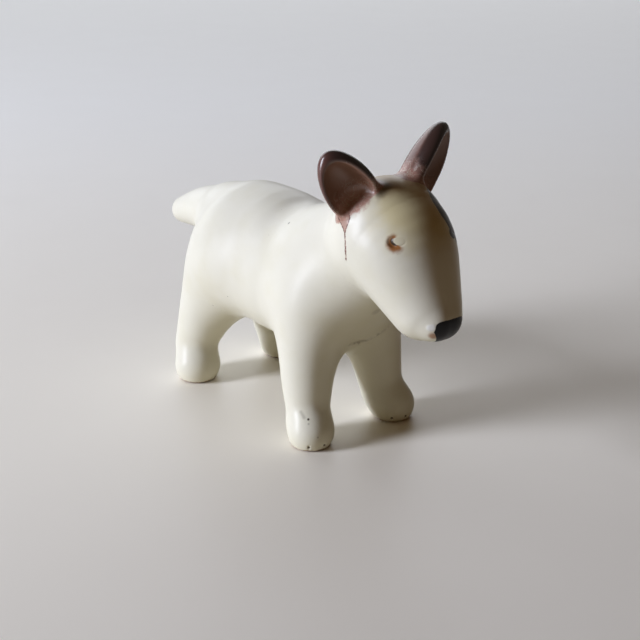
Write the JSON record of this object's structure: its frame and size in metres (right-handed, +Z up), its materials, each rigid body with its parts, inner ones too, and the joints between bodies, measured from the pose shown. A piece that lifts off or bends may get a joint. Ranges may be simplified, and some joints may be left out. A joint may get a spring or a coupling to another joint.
{
  "type": "stoneware dog figurine",
  "caption": "Small standing bull terrier ornament in glazed stoneware, with an egg-shaped head, cupped upright ears, short legs and a tail held straight out.",
  "frame": {"origin": "on the ground, under the middle of the figure's outer box", "axes": "+X towards the nose, +Y towards the dog's left side, +Z up"},
  "size_m": [0.1201, 0.0416, 0.0794],
  "materials": {
    "cream_glaze": "satin cream white glaze with fine specks",
    "brown_glaze": "satin dark brown glaze, worn thin towards the base of the ears"
  },
  "bodies": {
    "root": {"torso": "cream_glaze", "head": "cream_glaze", "ear_left": "brown_glaze", "ear_right": "brown_glaze", "foreleg_left": "cream_glaze", "foreleg_right": "cream_glaze", "hindleg_left": "cream_glaze", "hindleg_right": "cream_glaze", "tail": "cream_glaze"}
  },
  "joints": []
}
